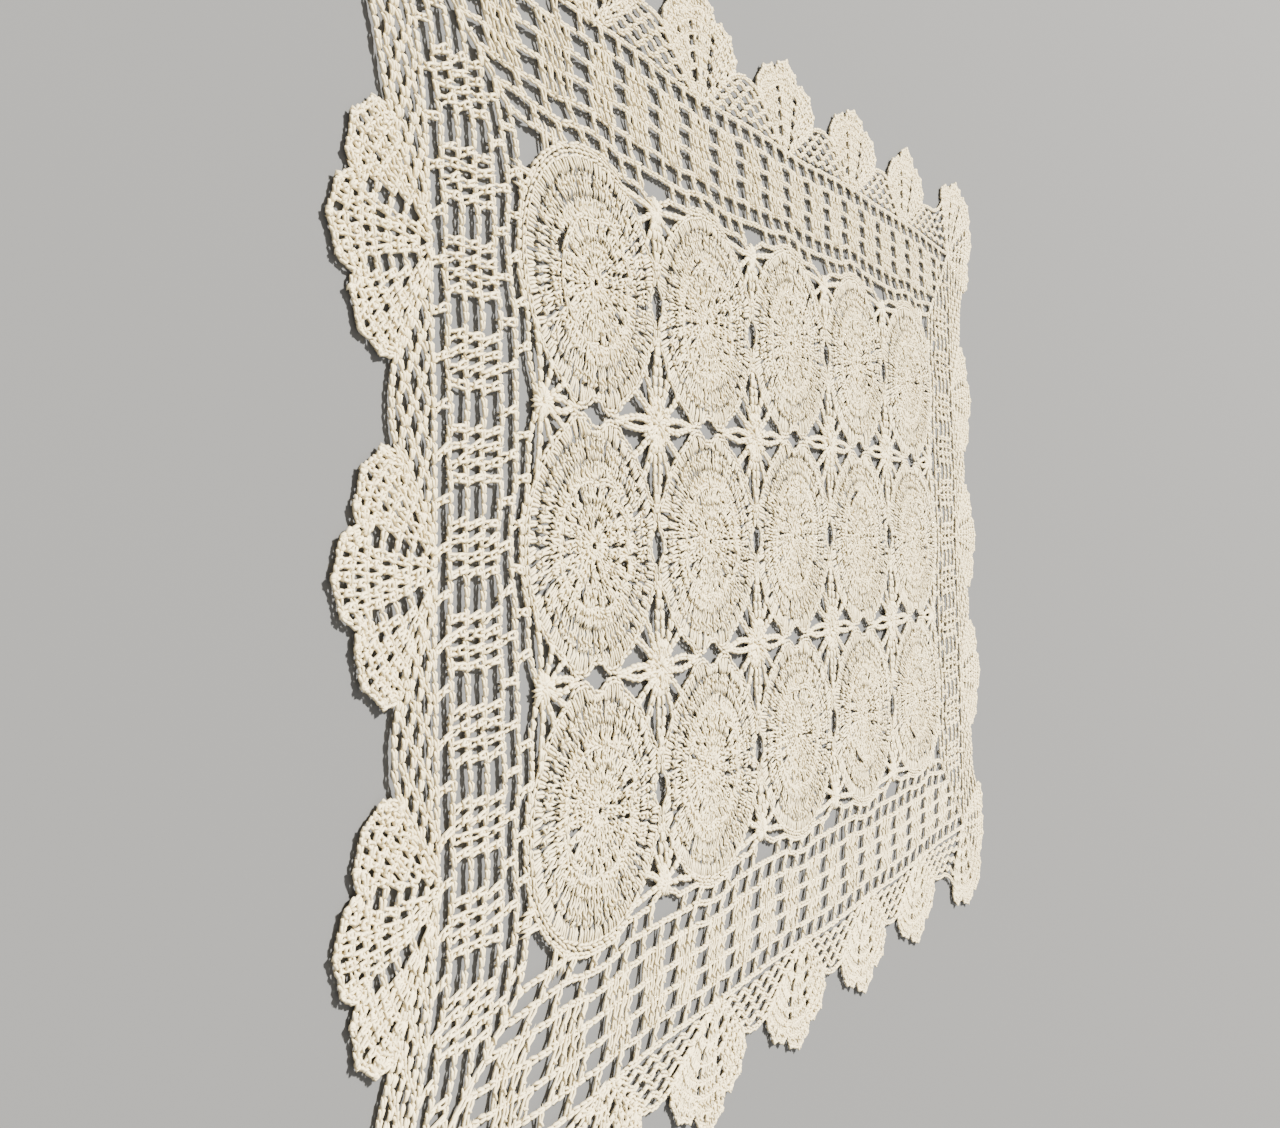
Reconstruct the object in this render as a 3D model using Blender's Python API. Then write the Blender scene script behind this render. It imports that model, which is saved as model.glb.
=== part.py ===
# Crochet table runner: fifteen round medallions joined by small flowers inside a wide border of
# mesh, filet squares and fans. It lies flat, underside at z = 0, long side along X, centre at the
# origin. All sizes are in metres.
import math

import bpy
from mathutils import Vector
from mathutils.geometry import delaunay_2d_cdt

# Driving sizes. PITCH is the distance between the centres of two joined medallions, and most
# other sizes of the pattern are shares of it.
PITCH = 0.072
COLUMNS = 5
ROWS = 3
THICKNESS = 0.0022
ROSETTE_RISE = 0.0009
BUTTON_RISE = 0.0007
GAP = 0.0003

# Medallion, as shares of PITCH. Two ears on each joined side touch the next medallion, and the
# edge is drawn in between them, which leaves a six-sided hole between each joined pair.
ROUND_RADIUS = 0.487
EAR_NEAR = 0.088
EAR_FAR = 0.168
DRAWN_IN = 0.452
DRAWN_HALF_WIDTH = 0.035
PETALS = 8
PETAL_TIP = 0.285
PETAL_VALLEY = 0.250
PETAL_STEP = 0.018

# Joining flowers, as shares of PITCH, in the quarter between two of the long petals.
LONG_PETAL_HALF_WIDTH = 0.031
NOTCH_REACH = 0.135
NOTCH_DEG = 16.0
BUTTON_RADIUS = 0.105
BUTTON_STEP = 0.035
BUTTON_SIDES = 12

# Half flower, as shares of PITCH: its heart lies this far inside the field's edge, and a narrow
# band along that edge carries the first mesh round. The hole on each side of the heart runs
# along the band from the first of HALF_HOLE to the second.
HALF_HEART = 0.080
HALF_HEART_HALF_WIDTH = 0.070
HALF_BAND = 0.028
HALF_HOLE = (0.095, 0.310)
HALF_REACH = 0.345

# Worked out from the sizes above, as shares of PITCH: the gap between two pieces, the line where
# the border meets the medallions, and how far a flower's long petal reaches to its join.
CLEAR = GAP / PITCH
INNER_EDGE = ROUND_RADIUS + CLEAR - 0.5
LONG_PETAL_TIP = 0.5 - EAR_FAR - CLEAR

# Border, as shares of PITCH: distance of each worked line outside the field of medallions.
MESH_INNER = (0.022, 0.140)
FILET = (0.172, 0.284)
FILET_SECOND = (0.304, 0.416)
MESH_OUTER = (0.446, 0.508)
LONG_SIDE_SQUARES = 17
SHORT_SIDE_SQUARES = 10
FILET_HOLE_WIDTH = 0.105
MESH_HOLE_WIDTH = 0.205
CORNER_HOLE = 0.062
CORNER_HOLE_CENTRE = 0.082

# Fans of the outer edge, as shares of PITCH. A fan opens from a heart inside the border and
# ends in a row of small picot steps.
FAN_HEART = 0.495
FAN_RADIUS = 0.535
FAN_HALF_ANGLE_DEG = 52.0
PICOTS = 7
PICOT_RISE = 0.022
VALLEY = 0.765
VALLEY_HALF_WIDTH = 0.040
CORNER_FAN_RADIUS = 0.515
CORNER_FAN_SWELL = 0.135
CORNER_FAN_START_DEG = -24.0
CORNER_PICOTS = 13

# Blender's fill is asked for triangles inside the faces that it is given, at this precision.
INSIDE_FACES = 1
FILL_EPSILON = 1e-6

ECRU_MEDALLION = (0.80, 0.74, 0.62, 1.0)
ECRU_FLOWER = (0.82, 0.76, 0.64, 1.0)
ECRU_BORDER = (0.79, 0.73, 0.61, 1.0)


def clear_scene():
    for ob in list(bpy.data.objects):
        bpy.data.objects.remove(ob, do_unlink=True)


def cotton(name, colour):
    """Matt cotton in one shade of ecru."""
    mat = bpy.data.materials.new(name)
    mat.use_nodes = True
    shader = mat.node_tree.nodes["Principled BSDF"]
    shader.inputs["Base Color"].default_value = colour
    shader.inputs["Roughness"].default_value = 0.9
    shader.inputs["Metallic"].default_value = 0.0
    return mat


def polar(radius, degrees, centre=(0.0, 0.0)):
    angle = math.radians(degrees)
    return Vector((centre[0] + radius * math.cos(angle), centre[1] + radius * math.sin(angle)))


def turned(points, degrees):
    """The points turned about the origin."""
    c, s = math.cos(math.radians(degrees)), math.sin(math.radians(degrees))
    return [Vector((c * p.x - s * p.y, s * p.x + c * p.y)) for p in points]


def fill(loops):
    """Triangles between an outline and the loops inside it, as indices into all points in turn.
    All loops run anticlockwise, and a triangle inside any loop but the first is left out."""
    points, faces = [], []
    for loop in loops:
        faces.append(list(range(len(points), len(points) + len(loop))))
        points += loop
    wide = [p * 1000.0 for p in points]
    found = delaunay_2d_cdt(wide, [], faces, INSIDE_FACES, FILL_EPSILON)
    first_point = [old[0] for old in found[3]]
    return [
        [first_point[i] for i in triangle]
        for triangle, inside in zip(found[2], found[5])
        if list(inside) == [0]
    ]


def solid(name, mat, place, outline, holes=(), raised=None, step=0.0, rise=0.0):
    """A flat plate of crochet from z = 0 to THICKNESS, with holes cut through. The loop raised,
    where there is one, stands up by rise, and its wall leans in by step."""
    loops = [outline, *holes]
    flat = [p for loop in loops for p in loop]
    count = len(flat)
    verts = [(p.x + place[0], p.y + place[1], 0.0) for p in flat]
    verts += [(p.x + place[0], p.y + place[1], THICKNESS) for p in flat]
    sheet = fill(loops)
    faces = [[a, c, b] for a, b, c in sheet]
    if raised is None:
        faces += [[i + count for i in tri] for tri in sheet]
    else:
        size = len(raised)
        crest = [p * (1.0 - step / p.length) for p in raised]
        verts += [(p.x + place[0], p.y + place[1], THICKNESS) for p in raised]
        verts += [(p.x + place[0], p.y + place[1], THICKNESS + rise) for p in crest]
        faces += [[i + count for i in tri] for tri in fill([outline, raised])]
        foot, top = 2 * count, 2 * count + size
        for i in range(size):
            j = (i + 1) % size
            faces += [[foot + i, foot + j, top + j], [foot + i, top + j, top + i]]
        faces += [[i + top for i in tri] for tri in fill([crest])]
    first = 0
    for loop in loops:
        size = len(loop)
        for i in range(size):
            a, b = first + i, first + (i + 1) % size
            if loop is not outline:
                a, b = b, a
            faces += [[a, b, b + count], [a, b + count, a + count]]
        first += size
    mesh = bpy.data.meshes.new(name)
    mesh.from_pydata(verts, [], faces)
    mesh.materials.append(mat)
    mesh.update()
    ob = bpy.data.objects.new(name, mesh)
    bpy.context.collection.objects.link(ob)
    return ob


def scaled(points):
    return [p * PITCH for p in points]


def medallion_side(joined):
    """A quarter of a medallion's edge, about +X, from -45 to 45 degrees."""
    if not joined:
        return [polar(ROUND_RADIUS, a) for a in range(-45, 45, 9)]
    touch = 0.5 - CLEAR / 2
    half = [
        Vector((DRAWN_IN, DRAWN_HALF_WIDTH)),
        Vector((touch, EAR_NEAR)),
        Vector((touch, EAR_FAR)),
        polar(ROUND_RADIUS, math.degrees(math.asin(EAR_FAR / ROUND_RADIUS))),
        polar(ROUND_RADIUS, 28.0),
        polar(ROUND_RADIUS, 36.0),
    ]
    below = [Vector((p.x, -p.y)) for p in reversed(half)]
    return [polar(ROUND_RADIUS, -45.0)] + below + half


def rosette():
    """The raised eight-petalled round near the middle of a medallion."""
    points = []
    for i in range(PETALS):
        middle = 360.0 / PETALS * (i + 0.5)
        for turn, share in ((-0.5, 0.0), (-0.3, 0.8), (0.0, 1.0), (0.3, 0.8)):
            radius = PETAL_VALLEY + (PETAL_TIP - PETAL_VALLEY) * share
            points.append(polar(radius, middle + turn * 360.0 / PETALS))
    return points


def make_medallions(mat):
    for column in range(COLUMNS):
        for row in range(ROWS):
            joined = (column < COLUMNS - 1, row < ROWS - 1, column > 0, row > 0)
            outline = []
            for side, has_next in enumerate(joined):
                outline += turned(medallion_side(has_next), 90.0 * side)
            place = centre_of(column, row)
            solid(
                f"medallion_{column + 1}_{row + 1}",
                mat,
                place,
                scaled(outline),
                raised=scaled(rosette()),
                step=PETAL_STEP * PITCH,
                rise=ROSETTE_RISE,
            )


def centre_of(column, row):
    """The centre of a medallion, or of the space past it where the numbers end in a half."""
    return ((column - (COLUMNS - 1) / 2) * PITCH, (row - (ROWS - 1) / 2) * PITCH)


def edge_of_round(degrees):
    """The point where a ray from a flower's heart meets the medallion at its upper right."""
    ray = polar(1.0, degrees)
    along = 0.5 * (ray.x + ray.y)
    radius = ROUND_RADIUS + CLEAR
    return ray * (along - math.sqrt(along * along - 0.5 + radius * radius))


def flower_quarter():
    """The edge from the long petal on +X to the one on +Y: an open notch beside the first, then
    two short petals that run together and lie along the medallion."""
    arc = [edge_of_round(a) for a in (23.0, 34.0, 45.0, 56.0, 67.0, 76.0)]
    return [
        Vector((LONG_PETAL_TIP, LONG_PETAL_HALF_WIDTH)),
        polar(NOTCH_REACH, NOTCH_DEG),
        *arc,
        Vector((LONG_PETAL_HALF_WIDTH, LONG_PETAL_TIP)),
    ]


def flower_outline():
    """Whole flower, the same in all four quarters, with its four notches beside the X petals."""
    first = flower_quarter()
    second = [Vector((-p.x, p.y)) for p in reversed(first)]
    upper = first + second
    return upper + [-p for p in upper]


def make_flowers(mat):
    """Whole flowers: a long petal to each of the four joins, and a pair of short ones between."""
    button = [polar(BUTTON_RADIUS, 360.0 / BUTTON_SIDES * i) for i in range(BUTTON_SIDES)]
    for column in range(COLUMNS - 1):
        for row in range(ROWS - 1):
            solid(
                f"flower_{column + 1}_{row + 1}",
                mat,
                centre_of(column + 0.5, row + 0.5),
                scaled(flower_outline()),
                raised=scaled(button),
                step=BUTTON_STEP * PITCH,
                rise=BUTTON_RISE,
            )


def round_point(degrees):
    """A point on the medallion at the lower right of a half flower, measured from its middle."""
    radius = ROUND_RADIUS + CLEAR
    angle = math.radians(degrees)
    return Vector((0.5 - radius * math.cos(angle), -0.5 + radius * math.sin(angle)))


def half_flower_outline():
    """Half a flower with its band along the field's edge and its long petal pointing down, -Y."""
    right = [
        Vector((LONG_PETAL_HALF_WIDTH, -LONG_PETAL_TIP)),
        *[round_point(a) for a in (23.0, 31.0, 39.0, 47.0)],
        Vector((HALF_HEART_HALF_WIDTH, -HALF_HEART)),
        *[Vector((x, INNER_EDGE - HALF_BAND)) for x in HALF_HOLE],
        Vector((HALF_REACH, INNER_EDGE - HALF_BAND / 2)),
        Vector((HALF_REACH, INNER_EDGE - CLEAR)),
    ]
    return right + [Vector((-p.x, p.y)) for p in reversed(right)]


def make_half_flowers(mat):
    outline = half_flower_outline()
    last_column, last_row = COLUMNS - 0.5, ROWS - 0.5
    sides = (
        ("near_side", 180.0, [(i + 0.5, -0.5) for i in range(COLUMNS - 1)]),
        ("far_side", 0.0, [(i + 0.5, last_row) for i in range(COLUMNS - 1)]),
        ("left_end", 90.0, [(-0.5, i + 0.5) for i in range(ROWS - 1)]),
        ("right_end", -90.0, [(last_column, i + 0.5) for i in range(ROWS - 1)]),
    )
    for side, turn, places in sides:
        for number, (column, row) in enumerate(places):
            solid(
                f"half_flower_{side}_{number + 1}",
                mat,
                centre_of(column, row),
                scaled(turned(outline, turn)),
            )


def side_frames():
    """For each side of the field: its turn, half its length and its distance from the centre."""
    half_long, half_short = COLUMNS / 2, ROWS / 2
    return (
        (0.0, half_long, half_short, LONG_SIDE_SQUARES),
        (90.0, half_short, half_long, SHORT_SIDE_SQUARES),
        (180.0, half_long, half_short, LONG_SIDE_SQUARES),
        (270.0, half_short, half_long, SHORT_SIDE_SQUARES),
    )


def box_loop(x, width, low, high):
    """A four-sided hole, its sides along the round and across it."""
    left, right = x - width / 2, x + width / 2
    return [Vector((left, low)), Vector((right, low)), Vector((right, high)), Vector((left, high))]


def border_holes():
    """The filet squares, and the mesh rounds at twice their real pitch."""
    holes = []
    for turn, half_length, distance, squares in side_frames():
        pitch = 2 * half_length / squares
        loops = []
        for i in range(squares):
            x = (i + 0.5) * pitch - half_length
            for low, high in (FILET, FILET_SECOND):
                loops.append(box_loop(x, FILET_HOLE_WIDTH, distance + low, distance + high))
        for i in range(1, squares):
            x = i * pitch - half_length
            for low, high in (MESH_INNER, MESH_OUTER):
                loops.append(box_loop(x, MESH_HOLE_WIDTH, distance + low, distance + high))
        corner = Vector((half_length - CORNER_HOLE_CENTRE, distance - CORNER_HOLE_CENTRE))
        loops.append([polar(CORNER_HOLE, 60.0 * i + 15.0, corner) for i in range(6)])
        holes += [turned(loop, turn) for loop in loops]
    return holes


def border_inside():
    """The inner edge, which follows the field and fills in behind each corner medallion."""
    points = []
    for turn, half_length, distance, _ in side_frames():
        middle = (half_length - 0.5, distance - 0.5)
        arc = [polar(ROUND_RADIUS + CLEAR, a, middle) for a in (27.0, 36.0, 45.0, 54.0, 63.0)]
        start = Vector((half_length + INNER_EDGE, arc[0].y))
        end = Vector((arc[-1].x, distance + INNER_EDGE))
        points += turned([start, *arc, end], turn)
    return points


def fan_arc(x, distance):
    """The picot edge of one fan on a side, from its right to its left."""
    heart = (x, distance + FAN_HEART)
    points = []
    step = 2 * FAN_HALF_ANGLE_DEG / PICOTS
    for i in range(PICOTS):
        first = 90.0 - FAN_HALF_ANGLE_DEG + i * step
        points.append(polar(FAN_RADIUS - PICOT_RISE, first, heart))
        points.append(polar(FAN_RADIUS, first + 0.5 * step, heart))
    points.append(polar(FAN_RADIUS - PICOT_RISE, 90.0 + FAN_HALF_ANGLE_DEG, heart))
    return points


def corner_arc(half_length, distance):
    """The picot edge of the corner fan at the right-hand end of a side."""
    heart = (half_length + FAN_HEART, distance + FAN_HEART)
    span = 90.0 - 2 * CORNER_FAN_START_DEG
    points = []
    for i in range(2 * CORNER_PICOTS + 1):
        angle = CORNER_FAN_START_DEG + span * i / (2 * CORNER_PICOTS)
        swell = CORNER_FAN_SWELL * math.sin(math.radians(2 * min(max(angle, 0.0), 90.0)))
        rise = PICOT_RISE if i % 2 else 0.0
        points.append(polar(CORNER_FAN_RADIUS + swell - PICOT_RISE + rise, angle, heart))
    return points


def valley(x, distance):
    """The short straight stretch between two fans."""
    ends = (x + VALLEY_HALF_WIDTH, x - VALLEY_HALF_WIDTH)
    return [Vector((end, distance + VALLEY)) for end in ends]


def border_outside():
    """The scalloped outer edge: on each side the corner fan, then a fan for each medallion."""
    points = []
    for turn, half_length, distance, _ in side_frames():
        side = corner_arc(half_length, distance)
        for i in range(int(2 * half_length)):
            fan_end = half_length - i
            side += valley(fan_end, distance) + fan_arc(fan_end - 0.5, distance)
        side += valley(-half_length, distance)
        points += turned(side, turn)
    return points


def make_border(mat):
    holes = [scaled(loop) for loop in [border_inside(), *border_holes()]]
    solid("border", mat, (0.0, 0.0), scaled(border_outside()), holes)


clear_scene()
make_medallions(cotton("ecru_cotton_medallion", ECRU_MEDALLION))
flower_cotton = cotton("ecru_cotton_flower", ECRU_FLOWER)
make_flowers(flower_cotton)
make_half_flowers(flower_cotton)
make_border(cotton("ecru_cotton_border", ECRU_BORDER))
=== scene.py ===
import math

import bpy
import numpy as np
from mathutils import Matrix, Vector


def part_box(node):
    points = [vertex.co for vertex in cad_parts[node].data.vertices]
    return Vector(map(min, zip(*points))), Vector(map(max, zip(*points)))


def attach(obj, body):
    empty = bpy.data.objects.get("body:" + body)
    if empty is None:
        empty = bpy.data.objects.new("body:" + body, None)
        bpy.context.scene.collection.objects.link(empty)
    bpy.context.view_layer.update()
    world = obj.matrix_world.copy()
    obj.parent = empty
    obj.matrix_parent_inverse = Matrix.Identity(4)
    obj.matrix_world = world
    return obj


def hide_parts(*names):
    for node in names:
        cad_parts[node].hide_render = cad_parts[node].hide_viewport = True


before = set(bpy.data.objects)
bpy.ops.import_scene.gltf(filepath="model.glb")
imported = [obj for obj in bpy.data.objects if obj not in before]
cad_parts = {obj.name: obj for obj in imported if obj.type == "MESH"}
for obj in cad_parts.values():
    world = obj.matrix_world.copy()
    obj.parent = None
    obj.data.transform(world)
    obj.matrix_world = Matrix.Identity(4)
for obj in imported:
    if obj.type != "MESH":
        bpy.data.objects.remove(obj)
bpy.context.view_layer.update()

# Round medallions: fifteen discs of thick ecru cotton, each worked from the middle out in five
# rounds of double crochet and an edge of short stitches. The third round stands up as petals, and
# where two discs meet, the edge is drawn out into ears that are caught into each other.

# The distance between two joined medallions. Every other size in the plane of the cloth, and
# every height, is a share of it, and MM turns millimetres into that share.
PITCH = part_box("medallion_4_2")[0][0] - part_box("medallion_3_2")[0][0]
MM = 0.001 / PITCH
COLUMNS, ROWS = 5, 3
FULL_TURN = 2 * math.pi

# The height of the middle of the cloth, and half the width and half the height of a strand, which
# lies a little flattened. A strand is thinner at its ends than in its middle.
MIDDLE = 1.10 * MM
MEDALLION_YARN = (0.50 * MM, 0.33 * MM)
YARN_SIDES = 4
STRAND_END = 0.55
STRAND_BELLY = 0.60

# A chain stitch is a V of two legs: how far each point of a leg has run on, in stitches, how far
# it stands out, as a share of the spread, and how much it rises.
LEG_RUN = np.array([-0.22, 0.22, 0.76, 1.28])
LEG_OUT = np.array([0.10, 0.62, 1.05, 0.70])
LEG_LIFT = np.array([-0.15, 0.32, 0.28, -0.45]) * MM
CHAIN_SPREAD = 0.55 * MM

# A double crochet is a pair of strands that slant a little and leave a slit between them: the
# height of each point as a share of the stitch, its offset to the side as a share of the spread,
# and its rise. POST_SLIP is how far each point follows when the middle of a pair slips.
POST_RUN = np.array([-0.28, 0.12, 0.50, 0.88, 1.26])
POST_OUT = np.array([1.50, 1.25, 0.85, 0.95, 1.15])
POST_LIFT = np.array([-0.10, 0.30, 0.18, 0.25, -0.35]) * MM
POST_SLIP = np.array([0.0, 0.5, 1.0, 0.5, 0.0])
POST_SPREAD = 0.58 * MM

# Where the stitches are dense, the pair is shorter and gathered half-way up, and short turns of
# yarn lie over it at these shares of its height.
DENSE_RUN = np.array([-0.08, 0.24, 0.50, 0.77, 1.05])
DENSE_OUT = np.array([0.75, 1.15, 0.55, 1.10, 0.55])
DENSE_LIFT = np.array([0.10, 0.30, -0.15, 0.22, -0.30]) * MM
DENSE_SPREAD = 0.64 * MM
WRAP_RUN = np.array([-0.19, -0.06, 0.06, 0.19])
WRAP_OUT = np.array([-1.25, -0.55, 0.55, 1.25])
WRAP_LIFT = np.array([-0.15, 0.48, 0.48, -0.15]) * MM
TURNS = (0.30, 0.72)
TOP_TURNS = (0.58, 0.86)

# A short stitch is a pair of legs that start together and part.
SHORT_RUN = np.array([-0.15, 0.25, 0.72, 1.15])
SHORT_OUT = np.array([0.35, 0.80, 1.00, 0.70])
SHORT_LIFT = np.array([0.0, 0.25, 0.10, -0.35]) * MM

# How uneven the hand is. In lengths: how far a stitch lies off its place in the plane and in
# height, a chain's stitch and a strand's point off its line, and a strand off its height.
SLACK = np.array([0.32, 0.32, 0.16]) * MM
WANDER = 0.12 * MM
CHAIN_LIFT_VARIES = 0.05 * MM
POST_LIFT_VARIES = 0.08 * MM

# In shares: of a stitch's place in its round, of a stitch's height, of the spread of its strands,
# of the slant of a turn over it, and of the thickness of a strand.
CHAIN_PLACE_VARIES = 0.05
POST_PLACE_VARIES = 0.08
SLIP_VARIES = 0.08
TURN_VARIES = 0.05
CHAIN_SPREAD_VARIES = 0.12
POST_SPREAD_VARIES = 0.14
SHORT_SPREAD_VARIES = 0.10
TURN_SLANTS = (0.2, 1.2)
YARN_VARIES = 0.06

rng = np.random.default_rng(31)


def sideways(ahead):
    """Level unit vectors at a right angle to the given ones, to their left."""
    left = np.stack([-ahead[..., 1], ahead[..., 0]], -1)
    return left / np.maximum(np.linalg.norm(left, axis=-1, keepdims=True), 1e-9)


def legs_between(feet, heads, run, out, lift):
    """Strands from feet to heads, both (count, 3). A point of a strand is foot + run * reach, then
    out to the left of the reach and lift upwards. run, out and lift have a value for each point."""
    reach = heads - feet
    path = feet[:, None] + reach[:, None] * run[..., None]
    path[..., :2] += out[..., None] * sideways(reach)[:, None]
    path[..., 2] += lift
    path[..., :2] += rng.normal(0.0, WANDER, path[..., :2].shape)
    return path


def posts(feet, heads, spread=POST_SPREAD, turns=(), stretch=1.0):
    """Double crochet stitches as pairs of strands. The second strand has the offsets of the first
    on the other side and in the other order. A stretch above 1 makes a pair longer about its
    middle. One or two short turns lie over each pair at shares of its height, and the second
    slants the other way."""
    count = len(feet)
    wide = spread * rng.normal(1.0, POST_SPREAD_VARIES, (2, count, 1))
    run = 0.5 + stretch * ((DENSE_RUN if turns else POST_RUN) - 0.5)
    run = run + rng.normal(0.0, SLIP_VARIES, (count, 1)) * POST_SLIP
    out = DENSE_OUT if turns else POST_OUT
    lift = DENSE_LIFT if turns else POST_LIFT
    lift = lift + rng.normal(0.0, POST_LIFT_VARIES, (2, count, 1))
    first = legs_between(feet, heads, run, wide[0] * out, lift[0])
    second = legs_between(feet, heads, run, -wide[1] * out[::-1], lift[1])
    strands = [first, second]
    for i, place in enumerate(turns):
        slant = WRAP_RUN * rng.uniform(*TURN_SLANTS, (count, 1))
        run = place + slant + rng.normal(0.0, TURN_VARIES, (count, 1))
        out = wide[i] * (WRAP_OUT if i == 0 else -WRAP_OUT)
        strands.append(legs_between(feet, heads, run, out, WRAP_LIFT))
    return strands


def short_stitches(feet, heads):
    """Short stitches as pairs of legs, one to each side."""
    wide = POST_SPREAD * rng.normal(1.0, SHORT_SPREAD_VARIES, (len(feet), 1))
    left = legs_between(feet, heads, SHORT_RUN, wide * SHORT_OUT, SHORT_LIFT)
    right = legs_between(feet, heads, SHORT_RUN, -wide * SHORT_OUT, SHORT_LIFT)
    return [left, right]


def chain(line, count, spread=CHAIN_SPREAD):
    """Chain stitches along a line, which gives points (x, y, z) by the share of its length. Each
    stitch is two legs: line(share + run) with out * spread to each side, and lift upwards."""
    start = np.arange(count)[:, None] + rng.normal(0.0, CHAIN_PLACE_VARIES, (count, 1))
    share = (start + LEG_RUN) / count
    middle = line(share)
    middle[..., :2] += rng.normal(0.0, WANDER, (count, 1, 2))
    step = 1e-4
    left = sideways(line(share + step) - line(share - step))
    wide = spread * rng.normal(1.0, CHAIN_SPREAD_VARIES, (count, 1)) * LEG_OUT
    legs = np.concatenate([middle, middle])
    legs[:count, :, :2] += wide[..., None] * left
    legs[count:, :, :2] -= wide[..., None] * left
    legs[..., 2] += LEG_LIFT + rng.normal(0.0, CHAIN_LIFT_VARIES, (2 * count, 1))
    return [legs]


def ring(radius, rise=0.0):
    """A round line: radius * (cos, sin) of the share of a turn, and rise above the middle of the
    cloth. radius and rise are numbers, or functions of the angle."""

    def line(share):
        angle = FULL_TURN * np.asarray(share)
        r = radius(angle) if callable(radius) else np.full_like(angle, radius)
        z = rise(angle) if callable(rise) else np.full_like(angle, rise)
        return np.stack([r * np.cos(angle), r * np.sin(angle), MIDDLE + z], -1)

    return line


def around(line, count, lean=0.0, sway=0.0):
    """Points spaced evenly along a closed line, each a little off its place. A lean moves all of
    them on by a share of a stitch, and a sway moves every other one on and the rest back."""
    stitch = np.arange(count) + 0.5 + lean + sway * (-1.0) ** np.arange(count)
    places = line((stitch + rng.normal(0.0, POST_PLACE_VARIES, count)) / count)
    return places + SLACK * rng.normal(0.0, 1.0, places.shape)


# The lines of a medallion's rounds: how far each lies from the middle, and how far above the
# middle of the cloth. A line of feet lies a little inside the heads that it is worked into.
HEART = (0.026, -0.20 * MM)
FIRST_HEADS = (0.112, 0.0)
SECOND_FEET = (0.096, 0.0)
SECOND_HEADS = (0.174, 0.20 * MM)
PETAL_FEET = (0.158, 0.30 * MM)
FOURTH_FEET = (0.236, 0.10 * MM)
FOURTH_HEADS = (0.330, 0.15 * MM)
FIFTH_FEET = (0.320, 0.05 * MM)
FIFTH_HEADS = (0.414, 0.0)

# The petals: how far out their stitches reach between them and at their tips, how high the tip of
# one that stands up fully rises, how far that leaves the fourth round's feet out, and a power
# that makes them blunt.
PETALS = 8
PETAL_VALLEY = 0.228
PETAL_TIP = 0.256
PETAL_RISE = 1.50 * MM
PETAL_GAP = 0.036
PETAL_POWER = 0.6

# The edge: its radius, and that of its ears by the angle from the join.
EDGE_RADIUS = 0.476
EAR_ANGLES = np.radians([0.0, 4.4, 10.0, 18.6, 25.0])
EAR_RADII = np.array([0.440, 0.442, 0.490, 0.504, EDGE_RADIUS])

# The numbers of stitches, and the spread of the two chains that aren't like the others.
HEART_CHAIN, PETAL_CHAIN, EDGE_CHAIN = 8, 46, 88
FIRST_COUNT, SECOND_COUNT, PETAL_COUNT = 18, 30, 42
FOURTH_COUNT, FIFTH_COUNT, EDGE_COUNT = 62, 64, 84
HEART_SPREAD = 0.45 * MM
EDGE_SPREAD = 0.70 * MM


def by_petal(base, gain, shares=np.ones(PETALS)):
    """A value round the middle that swells over each petal: base + gain * the petal's share * the
    sine of the way across the petal, to a power below 1."""

    def value(angle):
        petal = np.floor(angle * PETALS / FULL_TURN).astype(int) % PETALS
        return base + gain * shares[petal] * np.abs(np.sin(PETALS / 2 * angle)) ** PETAL_POWER

    return value


def worked_edge(joined):
    """The radius of a medallion's last round by the angle: plain, or with a pair of ears and a
    drawn-in stretch between them on each side that is joined, in the order +X, +Y, -X, -Y."""

    def radius(angle):
        quarter = np.round(angle / (FULL_TURN / 4))
        off_axis = np.abs(angle - quarter * (FULL_TURN / 4))
        eared = np.interp(off_axis, EAR_ANGLES, EAR_RADII)
        return np.where(np.take(joined, quarter.astype(int) % 4), eared, EDGE_RADIUS)

    return radius


def round_of_posts(feet, heads, count, lean, sway=0.0, turns=TURNS):
    """A round of dense double crochet between two round lines."""
    return posts(around(feet, count), around(heads, count, lean, sway), DENSE_SPREAD, turns)


def make_medallion(joined):
    """The strands of one medallion about the origin. Few of its petals stand up: each by the third
    power of a random share."""
    lifted = rng.uniform(0.0, 1.0, PETALS) ** 3
    heart, fifth = ring(*HEART), ring(*FIFTH_HEADS)
    petal_radius = by_petal(PETAL_VALLEY, PETAL_TIP - PETAL_VALLEY)
    petals = ring(petal_radius, by_petal(0.0, PETAL_RISE, lifted))
    under_petals = ring(by_petal(FOURTH_FEET[0], PETAL_GAP, lifted), FOURTH_FEET[1])
    edge = ring(worked_edge(joined))
    strands = chain(heart, HEART_CHAIN, HEART_SPREAD)
    strands += round_of_posts(heart, ring(*FIRST_HEADS), FIRST_COUNT, lean=0.15, sway=0.1)
    second = ring(*SECOND_HEADS)
    strands += round_of_posts(ring(*SECOND_FEET), second, SECOND_COUNT, lean=0.15, sway=0.2)
    strands += round_of_posts(ring(*PETAL_FEET), petals, PETAL_COUNT, lean=0.2, sway=0.2)
    strands += chain(petals, PETAL_CHAIN)
    strands += round_of_posts(under_petals, ring(*FOURTH_HEADS), FOURTH_COUNT, lean=0.2)
    strands += round_of_posts(ring(*FIFTH_FEET), fifth, FIFTH_COUNT, lean=0.3, turns=TOP_TURNS)
    strands += short_stitches(around(fifth, EDGE_COUNT), around(edge, EDGE_COUNT, lean=0.2))
    strands += chain(edge, EDGE_CHAIN, EDGE_SPREAD)
    return strands


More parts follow.
